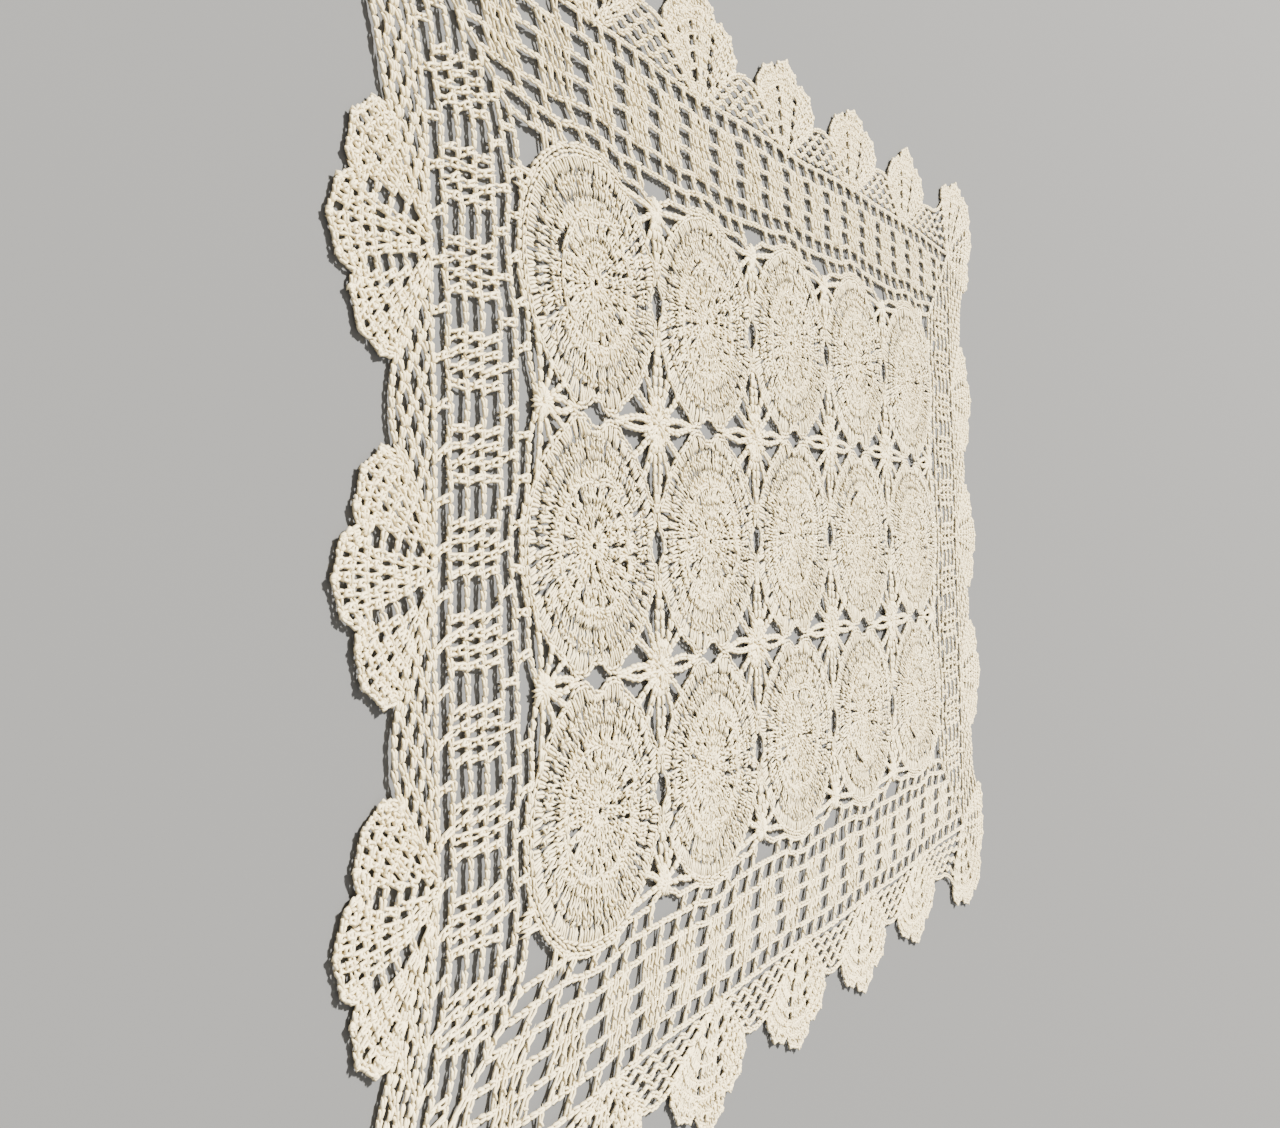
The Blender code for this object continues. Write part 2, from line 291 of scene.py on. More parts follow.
# The pull of handwork on the whole cloth: the heights of its waves, how far the fans of the left
# end, the near side and the far side are pulled along, how far the left end bows out and spreads
# towards the far side, and how far its fans are moved and spread.
SLOW_WAVE = 0.9 * MM
QUICK_WAVE = 0.5 * MM
LIFT_WAVE = 0.22 * MM
END_PULL = 0.03
NEAR_SIDE_PULL = -0.11
FAR_SIDE_PULL = 0.09
END_BOW = 0.016
END_SPREAD = 0.020
END_FANS = (-0.04, 0.05)


def ramp(value, start, length):
    """A share that is 0 up to start and grows evenly to 1 within a length."""
    return np.clip((value - start) / length, 0.0, 1.0)


def uneven(places):
    """Where a point of the flat pattern lies in the worked cloth: two waves of about a millimetre
    shift it in the plane, and a third lifts it by less than one. Past the last straight round, the
    fans are pulled along, each side by its own amount. The left end bows out towards its corners,
    by the fourth power of the distance from its middle. Ramps say where each pull begins."""
    x, y, z = places[..., 0], places[..., 1], places[..., 2]
    shift_x = SLOW_WAVE * np.sin(1.9 * y + 0.7 * x + 0.4) + QUICK_WAVE * np.sin(4.3 * y - 2.2 * x)
    shift_y = SLOW_WAVE * np.sin(1.6 * x - 0.9 * y + 1.1) + QUICK_WAVE * np.sin(4.9 * x + 1.7 * y)
    lift = LIFT_WAVE * (1.0 + np.sin(2.7 * x + 0.6) * np.sin(2.3 * y - 0.5))
    end = ramp(-x, 2.95, 0.25)
    near_side = ramp(-y, 2.0, 0.25) * ramp(x, -2.6, 0.8)
    far_side = ramp(y, 2.0, 0.40) * ramp(x, -5 / 3, 10 / 3)
    shift_x += END_PULL * end + NEAR_SIDE_PULL * near_side + FAR_SIDE_PULL * far_side
    shift_x -= END_BOW * np.minimum(np.abs(y), 1.75) ** 4 * ramp(-x, 2.0, 0.5)
    shift_y += END_SPREAD * np.clip(y, 0.0, 1.6) * ramp(-x, 1.4, 0.8)
    shift_y += (END_FANS[0] + END_FANS[1] * y) * end * ramp(-np.abs(y), -2.1, 0.7)
    return np.stack([x + shift_x, y + shift_y, z + lift], -1)


def tube_rings(path, wide, high):
    """Four-sided rings round the inner points of each path. A ring's corner is the point plus
    wide * cos * side + high * sin * up, with side level and up at a right angle to it and the path.
    A strand is fullest in its middle, by the sine of its length."""
    ahead = path[:, 2:] - path[:, :-2]
    ahead /= np.linalg.norm(ahead, axis=-1, keepdims=True)
    side = np.cross(ahead, np.array([0.0, 0.0, 1.0]))
    side /= np.maximum(np.linalg.norm(side, axis=-1, keepdims=True), 1e-9)
    up = np.cross(side, ahead)
    turn = FULL_TURN * np.arange(YARN_SIDES) / YARN_SIDES
    cos, sin = np.cos(turn)[:, None], np.sin(turn)[:, None]
    count = ahead.shape[1]
    way = np.arange(1, count + 1) / (count + 1)
    full = STRAND_END + STRAND_BELLY * np.sin(math.pi * way)
    across = (wide[:, None] * full)[..., None, None] * side[:, :, None] * cos
    upward = (high[:, None] * full)[..., None, None] * up[:, :, None] * sin
    return path[:, 1:-1, None] + across + upward


def tube_faces(rings):
    """The faces of one strand, with vertex 0 at its first end, the rings next and then the last
    end, and for each face corner its place round the strand and its vertex row along it."""
    last = 1 + rings * YARN_SIDES
    faces, rounds, rows = [], [], []
    for j in range(YARN_SIDES):
        k = (j + 1) % YARN_SIDES
        u, v = j / YARN_SIDES, (j + 1) / YARN_SIDES
        faces.append((0, 1 + j, 1 + k))
        rounds.append(((u + v) / 2, u, v))
        rows.append((0, 1, 1))
        for i in range(rings - 1):
            a, b = 1 + i * YARN_SIDES, 1 + (i + 1) * YARN_SIDES
            faces.append((a + j, b + j, b + k, a + k))
            rounds.append((u, u, v, v))
            rows.append((i + 1, i + 2, i + 2, i + 1))
        end = 1 + (rings - 1) * YARN_SIDES
        faces.append((last, end + k, end + j))
        rounds.append(((u + v) / 2, v, u))
        rows.append((rings + 1, rings, rings))
    return faces, rounds, rows


# The twist of a strand starts up to this many millimetres along the yarn, and its cell in the
# second map keeps this margin on each side.
TWIST_START = 10.0
CELL_MARGIN = 0.05


def in_cell(number, share, cells):
    """A place in the second map: a share of the way across a strand's cell, of so many in a row."""
    return (number + CELL_MARGIN + (1.0 - 2.0 * CELL_MARGIN) * share) / cells


def worked_mesh(name, groups, yarn):
    """A mesh of closed strands from groups of paths, each (count, points, 3) in shares of PITCH,
    with half the width and half the height of a strand. It carries a tone for each strand, a map
    of the twist of the yarn, with the share of a turn and the length in millimetres, and a second
    map that gives each strand its own cell."""
    total = sum(len(path) for path in groups)
    across = math.ceil(math.sqrt(2 * total))
    down = math.ceil(total / across)
    verts, faces, tones, twist, cells = [], [], [], [], []
    first_vertex, first_strand = 0, 0
    for path in groups:
        count, points = path.shape[:2]
        path = uneven(path)
        full = rng.normal(1.0, YARN_VARIES, count)
        rims = tube_rings(path, yarn[0] * full, yarn[1] * full).reshape(count, -1, 3)
        places = np.concatenate([path[:, :1], rims, path[:, -1:]], 1) * PITCH
        per_strand = places.shape[1]
        steps = np.linalg.norm(np.diff(path, axis=1), axis=-1) / MM
        length = np.concatenate([np.zeros((count, 1)), np.cumsum(steps, 1)], 1)
        length += rng.uniform(0.0, TWIST_START, (count, 1))
        base = first_vertex + per_strand * np.arange(count)
        strand = first_strand + np.arange(count)[:, None]
        for corners, turns, rows in zip(*tube_faces(points - 2)):
            faces += (base[:, None] + np.array(corners)).tolist()
            along = length[:, list(rows)]
            around_it = np.broadcast_to(np.array(turns), along.shape)
            twist.append(np.stack([around_it, along], -1).reshape(-1, 2))
            cell_u = in_cell(strand % across, around_it, across)
            cell_v = in_cell(strand // across, np.array(rows) / (points - 1), down)
            cells.append(np.stack([cell_u, cell_v], -1).reshape(-1, 2))
        tones.append(np.repeat(rng.normal(0.0, 1.0, count), per_strand))
        verts.append(places.reshape(-1, 3))
        first_vertex += count * per_strand
        first_strand += count
    mesh = bpy.data.meshes.new(name)
    mesh.from_pydata(np.concatenate(verts).tolist(), [], faces)
    for map_name, places in (("twist", twist), ("OFBake", cells)):
        layer = mesh.uv_layers.new(name=map_name)
        layer.uv.foreach_set("vector", np.concatenate(places).astype(np.float32).ravel())
    tone = mesh.attributes.new("tone", "FLOAT", "POINT")
    tone.data.foreach_set("value", np.concatenate(tones).astype(np.float32))
    mesh.polygons.foreach_set("use_smooth", np.ones(len(mesh.polygons), dtype=bool))
    mesh.update()
    return mesh


class Shade:
    """A socket of a material's node tree. An expression on it adds the Math nodes."""

    def __init__(self, tree, socket):
        self.tree, self.socket = tree, socket

    def node(self, kind, settings=(), **inputs):
        """Adds a node of this kind with its settings and inputs, and gives back the node. An
        input is named as its socket is, or in and its number."""
        made = self.tree.nodes.new(kind)
        for key, value in dict(settings).items():
            setattr(made, key, value)
        for key, value in inputs.items():
            number = key.removeprefix("in")
            target = made.inputs[int(number) if number.isdigit() else key.replace("_", " ")]
            if isinstance(value, Shade):
                self.tree.links.new(value.socket, target)
            else:
                target.default_value = value
        return made

    def get(self, kind, output=0, settings=(), **inputs):
        """The output of such a node, as a Shade."""
        return Shade(self.tree, self.node(kind, settings, **inputs).outputs[output])

    def maths(self, operation, *values):
        """The result of a Math node."""
        inputs = {f"in{i}": value for i, value in enumerate(values)}
        return self.get("ShaderNodeMath", 0, {"operation": operation}, **inputs)

    def __add__(self, other):
        return self.maths("ADD", self, other)

    __radd__ = __add__

    def __mul__(self, other):
        return self.maths("MULTIPLY", self, other)

    __rmul__ = __mul__

    def __sub__(self, other):
        return self.maths("SUBTRACT", self, other)

    def __rsub__(self, other):
        return self.maths("SUBTRACT", other, self)

    def sine(self):
        return self.maths("SINE", self)

    def clamped(self):
        return self.get("ShaderNodeClamp", 0, Value=self)


def mixed(share, first, second):
    """The two colours mixed by a share from 0 to 1."""
    settings = {"data_type": "RGBA"}
    return share.get("ShaderNodeMix", 2, settings, in0=share, in6=first, in7=second)


# The cotton: the plies round a strand and their turns to a millimetre, and the size of the fibre
# and cloud noises, in cells to the metre.
PLIES = 3.0
PLY_TURNS = 0.55
FIBRE_CELLS = 2600.0
CLOUD_CELLS = 22.0

# How much of the deeper colour there is, how much each cause changes it, and how much painted
# shade the flanks take on, for the shade that falls between close strands.
DEEP_SHARE = 0.35
TONE_GAIN = 0.13
CLOUD_GAIN = 0.80
FIBRE_GAIN = 0.25
PLY_GAIN = 0.10
PAINTED_SHADE_SHARE = 0.75

# The gloss, and the relief of plies and fibres, which is this deep in metres.
ROUGHNESS = 0.78
FIBRE_ROUGHNESS = 0.30
PLY_RELIEF = 0.6
FIBRE_RELIEF = 0.5
RELIEF_STRENGTH = 0.55
RELIEF_DEPTH = 0.00012
SHEEN = 0.15
SHEEN_ROUGHNESS = 0.5
SPECULAR = 0.35


def cotton(name, light, deep, painted_shade):
    """Mercerised ecru cotton: the plies show as slanting stripes that follow the strand, the
    shade changes a little from strand to strand and across the cloth, and fine fibres roughen it.
    The flanks, where cos of the turn is near 1 or -1, take on a painted shade, as dark as the
    shade between close strands."""
    material = bpy.data.materials.new(name)
    material.use_nodes = True
    tree = material.node_tree
    shader = tree.nodes["Principled BSDF"]
    start = Shade(tree, None)
    twist = start.get("ShaderNodeUVMap", 0, {"uv_map": "twist"})
    split = start.node("ShaderNodeSeparateXYZ", in0=twist)
    turn, length = Shade(tree, split.outputs[0]), Shade(tree, split.outputs[1])
    plies = ((turn * PLIES + length * PLY_TURNS) * FULL_TURN).sine()
    tone = start.get("ShaderNodeAttribute", 2, {"attribute_name": "tone"})
    place = start.get("ShaderNodeTexCoord", 3)
    fibre = start.get("ShaderNodeTexNoise", 0, in0=place, Scale=FIBRE_CELLS, Detail=2.0) - 0.5
    cloud = start.get("ShaderNodeTexNoise", 0, in0=place, Scale=CLOUD_CELLS, Detail=2.0) - 0.5
    share = DEEP_SHARE + tone * TONE_GAIN + cloud * CLOUD_GAIN + fibre * FIBRE_GAIN
    soft = mixed((share - plies * PLY_GAIN).clamped(), light, deep)
    # Painted shade: the flanks of each strand are darkened where close strands would shade them.
    flank = (turn * FULL_TURN + math.pi / 2).sine()
    flank = flank * flank
    shaded = mixed((flank * flank * PAINTED_SHADE_SHARE).clamped(), soft, painted_shade)
    rough = ROUGHNESS + fibre * FIBRE_ROUGHNESS
    relief = start.get(
        "ShaderNodeBump",
        Strength=RELIEF_STRENGTH,
        Distance=RELIEF_DEPTH,
        Height=plies * PLY_RELIEF + fibre * FIBRE_RELIEF,
    )
    tree.links.new(shaded.socket, shader.inputs["Base Color"])
    tree.links.new(rough.socket, shader.inputs["Roughness"])
    tree.links.new(relief.socket, shader.inputs["Normal"])
    shader.inputs["Sheen Weight"].default_value = SHEEN
    shader.inputs["Sheen Roughness"].default_value = SHEEN_ROUGHNESS
    shader.inputs["Specular IOR Level"].default_value = SPECULAR
    return material


def moved(groups, place, turn=0.0):
    """The strands turned about the origin by an angle and moved to a place in the plane."""
    cos, sin = math.cos(turn), math.sin(turn)
    spin = np.array([[cos, sin, 0.0], [-sin, cos, 0.0], [0.0, 0.0, 1.0]])
    return [path @ spin + np.array([place[0], place[1], 0.0]) for path in groups]


def centre_of(column, row):
    """The centre of a medallion, or of the space past it where the numbers end in a half."""
    return (column - (COLUMNS - 1) / 2, row - (ROWS - 1) / 2)


def flat_size(node):
    """The flat size of a piece, which is the length and width of its node's box."""
    low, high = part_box(node)
    return (high[0] - low[0], high[1] - low[1])


def add_piece(name, groups, yarn, material, nodes):
    """A finished piece: its mesh, material and place in the frame, with the model's parts hidden.
    """
    mesh = worked_mesh(name, groups, yarn)
    mesh.materials.append(material)
    piece = bpy.data.objects.new(name, mesh)
    bpy.context.collection.objects.link(piece)
    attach(piece, "root")
    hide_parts(*nodes)


# The radius of the disc that has a medallion's flat area.
DISC_RADIUS = 0.487

medallion_cotton = cotton(
    "medallion_cotton",
    light=(0.930, 0.805, 0.500, 1.0),
    deep=(0.820, 0.685, 0.390, 1.0),
    # Painted shade, laid on the flanks of each strand.
    painted_shade=(0.340, 0.280, 0.180, 1.0),
)
for column in range(COLUMNS):
    for row in range(ROWS):
        node = f"medallion_{column + 1}_{row + 1}"
        joined = (column < COLUMNS - 1, row < ROWS - 1, column > 0, row > 0)
        strands = moved(make_medallion(joined), centre_of(column, row))
        size = flat_size(node)
        area = math.pi * (DISC_RADIUS * PITCH) ** 2
        name = f"{node}_worked"
        add_piece(name, strands, MEDALLION_YARN, medallion_cotton, [node])


# Whole joining flowers: each fills the space between four medallions, in the same cotton. From a
# thick heart a long petal of two cords goes to each of the four joins, where it ends in a knot,
# and two single cords go to each medallion.
FLOWER_YARN = (0.63 * MM, 0.53 * MM)
CORD_STITCH = 0.042
CORD_SPREAD = 0.50 * MM
CORD_RISE = 0.25 * MM
CORD_BOW_VARIES = 0.12 * MM
LONG_PETAL_FOOT = 0.035
LONG_PETAL_TIP = 0.325
LONG_PETAL_BOW = 0.024
KNOT_LENGTH = 0.035
KNOT_SPREAD = 0.70 * MM

# A short cord is caught into a medallion this far from its middle, and runs on a little.
MEDALLION_REACH = 0.475
SHORT_CORD_ANGLES = np.radians([34.0, 62.0, 118.0, 146.0, 214.0, 242.0, 298.0, 326.0])
SHORT_CORD_FOOT = 0.040
SHORT_CORD_CATCH = 0.008
SHORT_CORD_SPREAD = 0.78 * MM
SHORT_CORD_BOW = 0.010

# The heart's stitches: the lines that they run between, as in a medallion, and their numbers.
# FLOWER_FILL is the share of its box that a whole flower's flat area has.
BLOOM_MIDDLE = (0.012, 0.35 * MM)
BLOOM_RIM = (0.056, 0.60 * MM)
BLOOM_EDGE = (0.122, 0.20 * MM)
BLOOM_RIM_COUNT = 6
BLOOM_EDGE_COUNT = 14
BLOOM_TURNS = (0.55,)
FLOWER_FILL = 0.50


def cord(foot, tip, bow, spread=CORD_SPREAD):
    """A petal's cord: a chain from its foot to its tip, which bows to the left by bow * sin of the
    share of its length and rises in its middle in the same way."""
    reach = tip - foot
    left = np.append(sideways(reach), 0.0)
    bow = bow + rng.normal(0.0, CORD_BOW_VARIES)

    def line(share):
        share = np.asarray(share)[..., None]
        arch = np.sin(math.pi * np.clip(share, 0.0, 1.0))
        return foot + reach * share + left * bow * arch + np.array([0.0, 0.0, CORD_RISE]) * arch

    return chain(line, max(2, round(np.linalg.norm(reach) / CORD_STITCH)), spread)


def long_petal(foot, tip):
    """Two cords that meet at both ends, with a slit between them."""
    return cord(foot, tip, LONG_PETAL_BOW) + cord(foot, tip, -LONG_PETAL_BOW)


def knot(start, end):
    """Two wide chain stitches on a straight line."""

    def line(share):
        return start + (end - start) * np.asarray(share)[..., None]

    return chain(line, 2, KNOT_SPREAD)


def at_angle(radius, angle):
    """A point at this distance from the origin in this direction."""
    return np.array([radius * math.cos(angle), radius * math.sin(angle), MIDDLE])


def to_medallion(angle):
    """How far a ray from a whole flower's heart runs before it meets the next medallion: the way
    to the point nearest to the medallion's middle, which is half a pitch off on both axes, less
    the half chord there."""
    angle = angle % (FULL_TURN / 4)
    along = 0.5 * (math.cos(angle) + math.sin(angle))
    return along - math.sqrt(along * along - 0.5 + MEDALLION_REACH**2)


def make_flower():
    """The strands of one whole flower about the origin."""
    strands = []
    for quarter in range(4):
        angle = FULL_TURN / 4 * quarter
        tip = at_angle(LONG_PETAL_TIP, angle)
        strands += long_petal(at_angle(LONG_PETAL_FOOT, angle), tip)
        strands += knot(tip, at_angle(LONG_PETAL_TIP + KNOT_LENGTH, angle))
    for angle in SHORT_CORD_ANGLES:
        foot = at_angle(SHORT_CORD_FOOT, angle)
        tip = at_angle(to_medallion(angle) + SHORT_CORD_CATCH, angle)
        strands += cord(foot, tip, rng.uniform(-1.0, 1.0) * SHORT_CORD_BOW, SHORT_CORD_SPREAD)
    middle, rim, edge = ring(*BLOOM_MIDDLE), ring(*BLOOM_RIM), ring(*BLOOM_EDGE)
    feet = around(rim, BLOOM_EDGE_COUNT)
    strands += posts(feet, around(edge, BLOOM_EDGE_COUNT), DENSE_SPREAD, BLOOM_TURNS)
    feet = around(middle, BLOOM_RIM_COUNT)
    strands += posts(feet, around(rim, BLOOM_RIM_COUNT))
    return strands


flower_cotton = cotton(
    "flower_cotton",
    light=(0.935, 0.812, 0.508, 1.0),
    deep=(0.825, 0.690, 0.396, 1.0),
    # Painted shade, laid on the flanks of each strand.
    painted_shade=(0.345, 0.285, 0.185, 1.0),
)
for column in range(COLUMNS - 1):
    for row in range(ROWS - 1):
        node = f"flower_{column + 1}_{row + 1}"
        strands = moved(make_flower(), centre_of(column + 0.5, row + 0.5))
        size = flat_size(node)
        area = FLOWER_FILL * size[0] * size[1]
        name = f"{node}_worked"
        add_piece(name, strands, FLOWER_YARN, flower_cotton, [node])


# Half flowers: twelve of them fill the spaces along the edge of the field, in the same cotton.
# Each has one long petal to the join between two medallions and three cords to each of them, and
# its heart, which lies this far in from the field's edge, is caught into the border's first round.
HALF_HEART = 0.112
HALF_CORD_ANGLES = (29.0, 42.0, 62.0)
HALF_CORD_FOOT = 0.10
HALF_CORD_CATCH = 0.04
HALF_BLOOM_MIDDLE = (0.008, 0.40 * MM)
HALF_BLOOM_RIM = (0.055, 0.20 * MM)
HALF_BLOOM_COUNT = 9
HALF_FLOWER_FILL = 0.45


def on_round(degrees):
    """A point on the medallion at the lower right of a half flower, measured from its middle."""
    angle = math.radians(degrees)
    across = 0.5 - MEDALLION_REACH * math.cos(angle)
    return np.array([across, MEDALLION_REACH * math.sin(angle) - 0.5, MIDDLE])


def make_half_flower():
    """The strands of one half flower, with the field's edge along X and its long petal down -Y."""
    heart = np.array([0.0, -HALF_HEART, MIDDLE])
    down = np.array([0.0, -1.0, 0.0])
    tip = np.array([0.0, -LONG_PETAL_TIP, MIDDLE])
    strands = long_petal(heart + LONG_PETAL_FOOT * down, tip)
    strands += knot(tip, tip + KNOT_LENGTH * down)
    for degrees in HALF_CORD_ANGLES:
        for mirror in (1.0, -1.0):
            catch = on_round(degrees) * np.array([mirror, 1.0, 1.0])
            foot = heart + HALF_CORD_FOOT * (catch - heart)
            strands += cord(foot, catch + HALF_CORD_CATCH * (catch - heart), 0.0)
    feet = around(ring(*HALF_BLOOM_MIDDLE), HALF_BLOOM_COUNT)
    heads = around(ring(*HALF_BLOOM_RIM), HALF_BLOOM_COUNT)
    strands += moved(posts(feet, heads), heart)
    return strands


for side, turn, places in (
    ("near_side", math.pi, [(i + 0.5, -0.5) for i in range(COLUMNS - 1)]),
    ("far_side", 0.0, [(i + 0.5, ROWS - 0.5) for i in range(COLUMNS - 1)]),
    ("left_end", math.pi / 2, [(-0.5, i + 0.5) for i in range(ROWS - 1)]),
    ("right_end", -math.pi / 2, [(COLUMNS - 0.5, i + 0.5) for i in range(ROWS - 1)]),
):
    for number, (column, row) in enumerate(places):
        node = f"half_flower_{side}_{number + 1}"
        strands = moved(make_half_flower(), centre_of(column, row), turn)
        size = flat_size(node)
        area = HALF_FLOWER_FILL * size[0] * size[1]
        name = f"{node}_worked"
        add_piece(name, strands, FLOWER_YARN, flower_cotton, [node])


# Border: worked in rounds on the joined field, in the same cotton. From the inside out it has
# two mesh rounds, three rounds of filet squares and blocks, one more mesh round, and then fans
# with a net of diamonds between them. Each side takes in the corner fan at its right-hand end.
BORDER_YARN = (0.49 * MM, 0.47 * MM)

# The length of a chain stitch in all of the border.
STITCH = 0.035

# The rails are the chain lines of the straight rounds: how far each lies from the field, how high,
# and how far it dips under the blocks.
RAILS = (0.005, 0.075, 0.155, 0.245, 0.337, 0.430, 0.520)
RAIL_HEIGHT = MIDDLE - 0.20 * MM
RAIL_DIP = 0.35 * MM
RAIL_SPREAD = 0.56 * MM

# The posts between the rails: which of the rounds are filet, its squares on the far side and so on
# anticlockwise, its hole and the posts of its block, and how far the posts of each side lean.
FILET_ROUNDS = (2, 3, 4)
SQUARES = (17, 10, 17, 10)
FILET_HOLE = 0.112
BLOCK_POSTS = 4
POST_LEANS = (0.040, 0.020, -0.040, 0.0)
POST_LEAN_VARIES = 0.005
BORDER_POST_SPREAD = 0.68 * MM
BORDER_STRETCH = 1.24
BORDER_TURNS = (0.5,)
CLEAR_OF_MITRE = 0.025
CLEAR_OF_CATCH = 0.07

# How the rounds draw in: the circle of the medallions' edges that the first round follows, how
# deep it does, and how far out and towards the corners this fades. Then the same for the point
# where the heart of a half flower is caught into it.
DRAWN_RADIUS = 0.49
DRAWN_DEPTH = 0.040
DRAWN_FADE = 0.25
CATCH_DEPTH = 0.105
CATCH_WIDTH = 0.14
CATCH_FADE = 0.05

# Behind a corner medallion: the chain along its edge, from an angle and over so many degrees, and
# where its posts stand, by the share of its length.
WEB_RADIUS = 0.505
WEB_START, WEB_SPAN = 25.0, 40.0
WEB_CHAIN = 10
WEB_POSTS = np.array([0.10, 0.28])
WEB_LEAN = 0.01


def tension(x, out, half):
    """How far a round draws in: as far as a circle falls off within 0.4 of its top, down to
    DRAWN_DEPTH, and less in the rounds further out and near the corners. Where the heart of a half
    flower is caught into it, the first round alone is drawn in to a point."""
    off = np.abs((x + half) % 1.0 - 0.5)
    edge = np.sqrt(DRAWN_RADIUS**2 - np.minimum(off, 0.4) ** 2) - DRAWN_RADIUS
    inside = ramp(-np.abs(x), -half, DRAWN_FADE)
    caught = (DRAWN_DEPTH - CATCH_DEPTH) * ramp(off, 0.5 - CATCH_WIDTH, CATCH_WIDTH)
    drawn = np.maximum(edge, -DRAWN_DEPTH) * ramp(-out, -DRAWN_FADE, DRAWN_FADE)
    return (drawn + caught * ramp(-out, -CATCH_FADE, CATCH_FADE)) * inside


def on_rail(x, out, half, height=MIDDLE):
    """Points at x along a side, on the line of a round that lies this far out."""
    x = np.asarray(x, dtype=float)
    return np.stack([x, out + tension(x, out, half), np.full_like(x, height)], -1)


def rail_line(out, half, pitch):
    """A round's line from mitre to mitre, by the share of its length. In the filet it dips under
    the blocks, by the cosine of its place in a square."""

    def line(share):
        x = (half + out) * (2.0 * np.asarray(share) - 1.0)
        places = on_rail(x, out, half, RAIL_HEIGHT)
        if RAILS[FILET_ROUNDS[0]] <= out <= RAILS[FILET_ROUNDS[-1] + 1]:
            places[..., 2] -= RAIL_DIP * np.cos(FULL_TURN * (x + half) / pitch)
        return places

    return line


def make_rails(half, pitch):
    """The chain lines of the rounds, mitred at the corners."""
    strands = []
    for out in RAILS:
        count = round(2.0 * (half + out) / STITCH)
        strands += chain(rail_line(out, half, pitch), count, RAIL_SPREAD)
    return strands


def post_places(number, half, pitch):
    """Where along a side a round has its posts: in blocks in the filet, evenly in the mesh, with
    none on the heart of a half flower. One of the first two mesh rounds, the second on a long side
    and the first at an end, has them half a mesh on from the other."""
    if number in FILET_ROUNDS:
        block = pitch - FILET_HOLE - 2.0 * (BORDER_POST_SPREAD + BORDER_YARN[0])
        within = block * np.linspace(-0.5, 0.5, BLOCK_POSTS)
        centres = pitch * np.arange(-1, round(2.0 * half / pitch) + 2) - half
        places = (centres[:, None] + within).ravel()
    else:
        shifted = number == (1 if half == COLUMNS / 2 else 0)
        meshes = np.arange(-4, round(4.0 * half / pitch) + 5) + 0.5 * shifted
        places = pitch / 2.0 * meshes - half
    if number == 0:
        off = np.abs((places + half + 0.5) % 1.0 - 0.5)
        places = places[(off > CLEAR_OF_CATCH) | (np.abs(places) > half - 0.5)]
    return places[np.abs(places) < half + RAILS[number] - CLEAR_OF_MITRE]


def border_posts(feet, heads):
    """Double crochet as the border has it, a little longer than a round is wide."""
    return posts(feet, heads, BORDER_POST_SPREAD, BORDER_TURNS, BORDER_STRETCH)


def make_rounds(half, pitch, lean):
    """The posts between the rails, which lean a little along the side, with one post on the mitre
    of the right-hand corner."""
    strands = []
    for number, (inner, outer) in enumerate(zip(RAILS[:-1], RAILS[1:])):
        x = post_places(number, half, pitch)
        slant = lean / 2.0 + rng.normal(0.0, POST_LEAN_VARIES, len(x))
        strands += border_posts(on_rail(x + slant, inner, half), on_rail(x - slant, outer, half))
        corner_foot = np.array([[half + inner, inner, MIDDLE]])
        corner_head = np.array([[half + outer, outer, MIDDLE]])
        strands += border_posts(corner_foot, corner_head)
    return strands


def make_corner_web(half):
    """Behind the right-hand corner medallion: a chain along its edge and two posts out to the
    first round on each side of the corner, with an open hole in the corner itself."""

    def arc(share):
        angle = np.radians(WEB_START + WEB_SPAN * np.asarray(share))
        x = half - 0.5 + WEB_RADIUS * np.cos(angle)
        y = WEB_RADIUS * np.sin(angle) - 0.5
        return np.stack([x, y, np.full_like(angle, MIDDLE)], -1)

    strands = chain(arc, WEB_CHAIN)
    height = np.full(len(WEB_POSTS), MIDDLE)
    feet = arc(WEB_POSTS)
    heads = np.stack([np.full_like(height, half), feet[:, 1] + WEB_LEAN, height], -1)
    strands += posts(feet, heads)
    feet = arc(1.0 - WEB_POSTS)
    heads = np.stack([feet[:, 0] + WEB_LEAN, np.zeros_like(height), height], -1)
    strands += posts(feet, heads)
    return strands


# Fans: how far out their hearts lie, the shares of the radius at which their rows end, the angles
# of their rays of holes from the middle, the degrees from one end to the other, how far each
# lobe swells out, and how far the fans of each side are shifted along it.
FAN_HEART = 0.495
FAN_STEPS = np.array([0.02, 0.095, 0.176, 0.252, 0.323, 0.383, 0.424])
FAN_RAYS = np.radians([-12.0, 12.0])
FAN_RAY_DRIFT = 0.20
FAN_ENDS = (34.0, 146.0)
FAN_LOBES = np.array([0.055, 0.080, 0.055])
FAN_SHIFTS = (0.0, -0.055, 0.0, 0.0)
CORNER_STEPS = np.array([0.04, 0.19, 0.36, 0.53, 0.70, 0.84, 0.93])
CORNER_RAYS = np.radians([-42.0, -14.0, 14.0, 42.0])
CORNER_ENDS = (-24.0, 114.0)
CORNER_LOBES = np.array([0.050, 0.055, 0.070, 0.055, 0.050])
CORNER_RADIUS = 0.490
CORNER_SWELL = 0.135

# The stitches of a fan: the distance between its posts, the width of a ray's holes, the power
# that makes its lobes blunt, and the picots on a lobe, which rise this far and end in a ring.
FAN_POST_PITCH = 0.037
FAN_POST_VARIES = 0.004
RAY_GAP = 0.078
LOBE_POWER = 0.7
LOBES_VARY = (0.85, 1.15)
LOBE_PICOTS = 3
PICOT_STITCHES = 5
PICOT_RISE = 0.012
PICOTS_VARY = (0.5, 1.3)
PICOT_RING = 0.009
PICOT_RING_OUT = 0.004
PICOT_RING_STITCHES = 3
PICOT_SPREAD = 0.30 * MM

# The net: how far out the middle of each row lies, and that of the edge, the height of its waves
# and their length, and how much longer than its span a row is.
NET_LEVELS = (0.567, 0.614, 0.661, 0.707)
NET_EDGE = 0.753
NET_WAVE = 0.011
NET_PITCH = 0.130
NET_SLACK = 1.06


